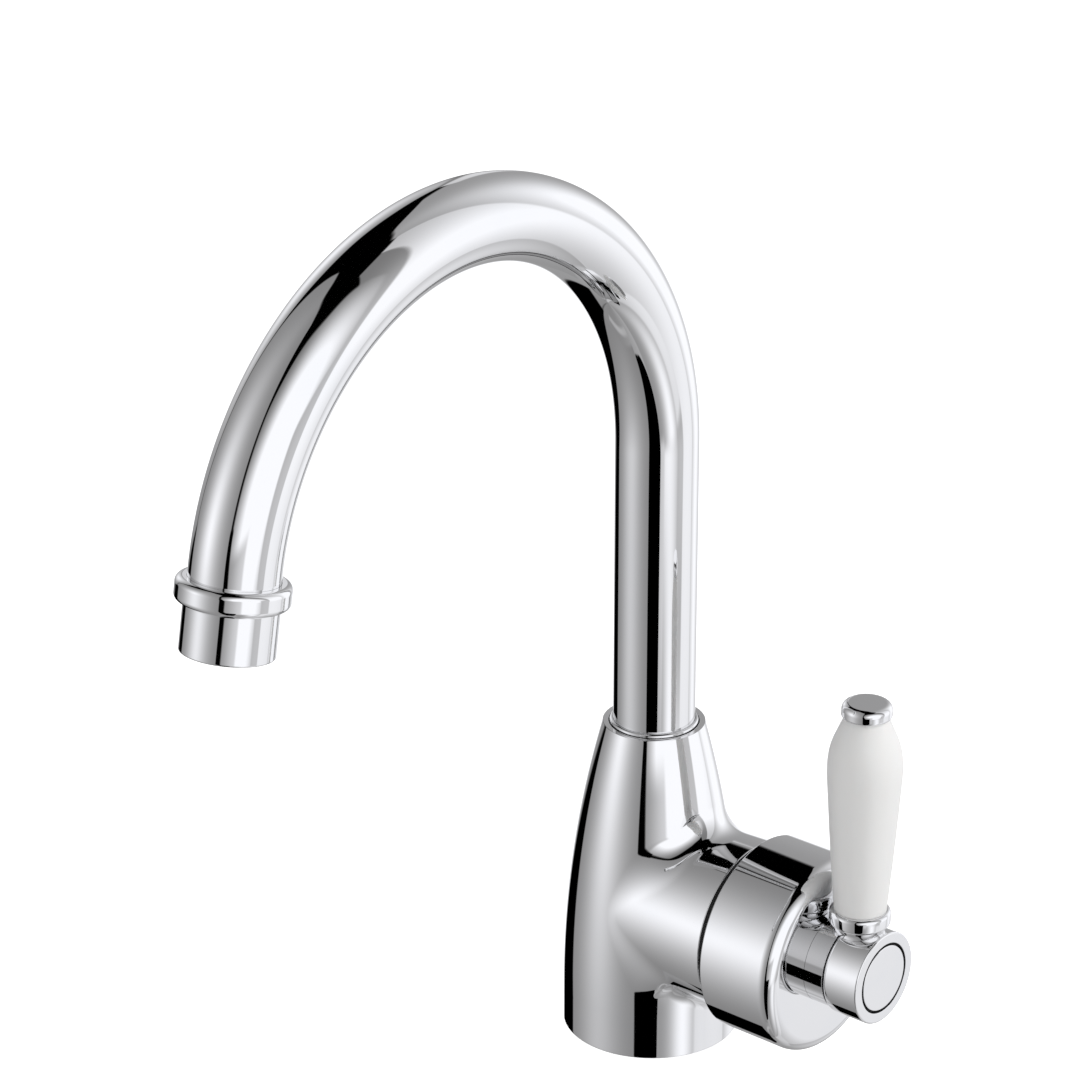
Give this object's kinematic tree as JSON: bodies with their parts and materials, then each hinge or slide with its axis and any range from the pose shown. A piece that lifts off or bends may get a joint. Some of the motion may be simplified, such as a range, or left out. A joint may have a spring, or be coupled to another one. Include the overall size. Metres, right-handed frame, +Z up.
{
  "type": "gooseneck basin mixer",
  "caption": "Single-lever basin mixer tap with a tall round gooseneck spout, a tapered body and a side lever with a white ceramic grip.",
  "frame": {"origin": "centre of the foot's underside, on the spout's turning axis", "axes": "+Z up along the riser, the spout reaches towards -Y at rest, +X along the cartridge's branch towards the lever"},
  "size_m": [0.1029, 0.1966, 0.2596],
  "materials": {
    "chrome_body": "mirror polished",
    "chrome_spout": "mirror polished",
    "chrome_handle": "mirror polished",
    "index_chrome": "polished flat",
    "white_ceramic": "satin glaze",
    "disc_ceramic": "lapped",
    "raw_brass": "turned",
    "steel": "bright zinc",
    "black_rubber": "matte",
    "white_plastic": "moulded",
    "grey_plastic": "moulded",
    "black_plastic": "moulded"
  },
  "bodies": {
    "body": {"body_casting": "chrome_body", "base_seal_ring": "black_rubber", "glide_ring": "black_plastic", "spout_retaining_ring": "steel", "cartridge_base": "grey_plastic", "cartridge_port_seals": "black_rubber", "cartridge_housing": "grey_plastic", "cartridge_nut": "raw_brass", "fixed_ceramic_disc": "disc_ceramic"},
    "spout": {"spout_tube": "chrome_spout", "spout_collar": "chrome_spout", "spout_spigot": "raw_brass", "spout_o_rings": "black_rubber", "spout_lower_bush": "white_plastic", "spout_upper_bush": "white_plastic", "outlet_ring": "chrome_spout", "outlet_nozzle": "chrome_spout", "aerator_seal": "black_rubber", "aerator_housing": "grey_plastic", "aerator_insert": "white_plastic", "aerator_screen": "steel"},
    "rotor": {"cartridge_rotor": "white_plastic", "spindle_pin": "steel"},
    "moving_disc": {"moving_ceramic_disc": "disc_ceramic", "disc_carrier": "white_plastic"},
    "handle": {"cartridge_spindle": "raw_brass", "hub_shell": "chrome_handle", "handle_stem": "chrome_handle", "handle_knob": "chrome_handle", "index_disc": "index_chrome", "handle_screw": "steel", "lever_ferrule": "chrome_handle", "lever_stud": "steel", "grip_washer_lower": "black_rubber", "ceramic_grip": "white_ceramic", "grip_washer_upper": "black_rubber", "finial_cap": "chrome_handle"}
  },
  "joints": [
    {"name": "spout_swivel", "type": "hinge", "parent": "body", "child": "spout", "pos_m": [0, 0, 0.09], "axis": [0, 0, 1], "continuous": true},
    {"name": "handle_turn", "type": "hinge", "parent": "body", "child": "rotor", "pos_m": [0.02, 0, 0.0394], "axis": [1, 0, 0], "range_deg": [-50, 50]},
    {"name": "handle_tilt", "type": "hinge", "parent": "rotor", "child": "handle", "pos_m": [0.02, 0, 0.0394], "axis": [0, 1, 0], "range_deg": [0, 22]},
    {"name": "disc_slide", "type": "slide", "parent": "rotor", "child": "moving_disc", "axis": [0, 0, 1], "range_m": [0, 0.0031]}
  ],
  "couplings": [
    {"joint": "disc_slide", "follows": "handle_tilt", "m_per_rad": 0.0079}
  ]
}
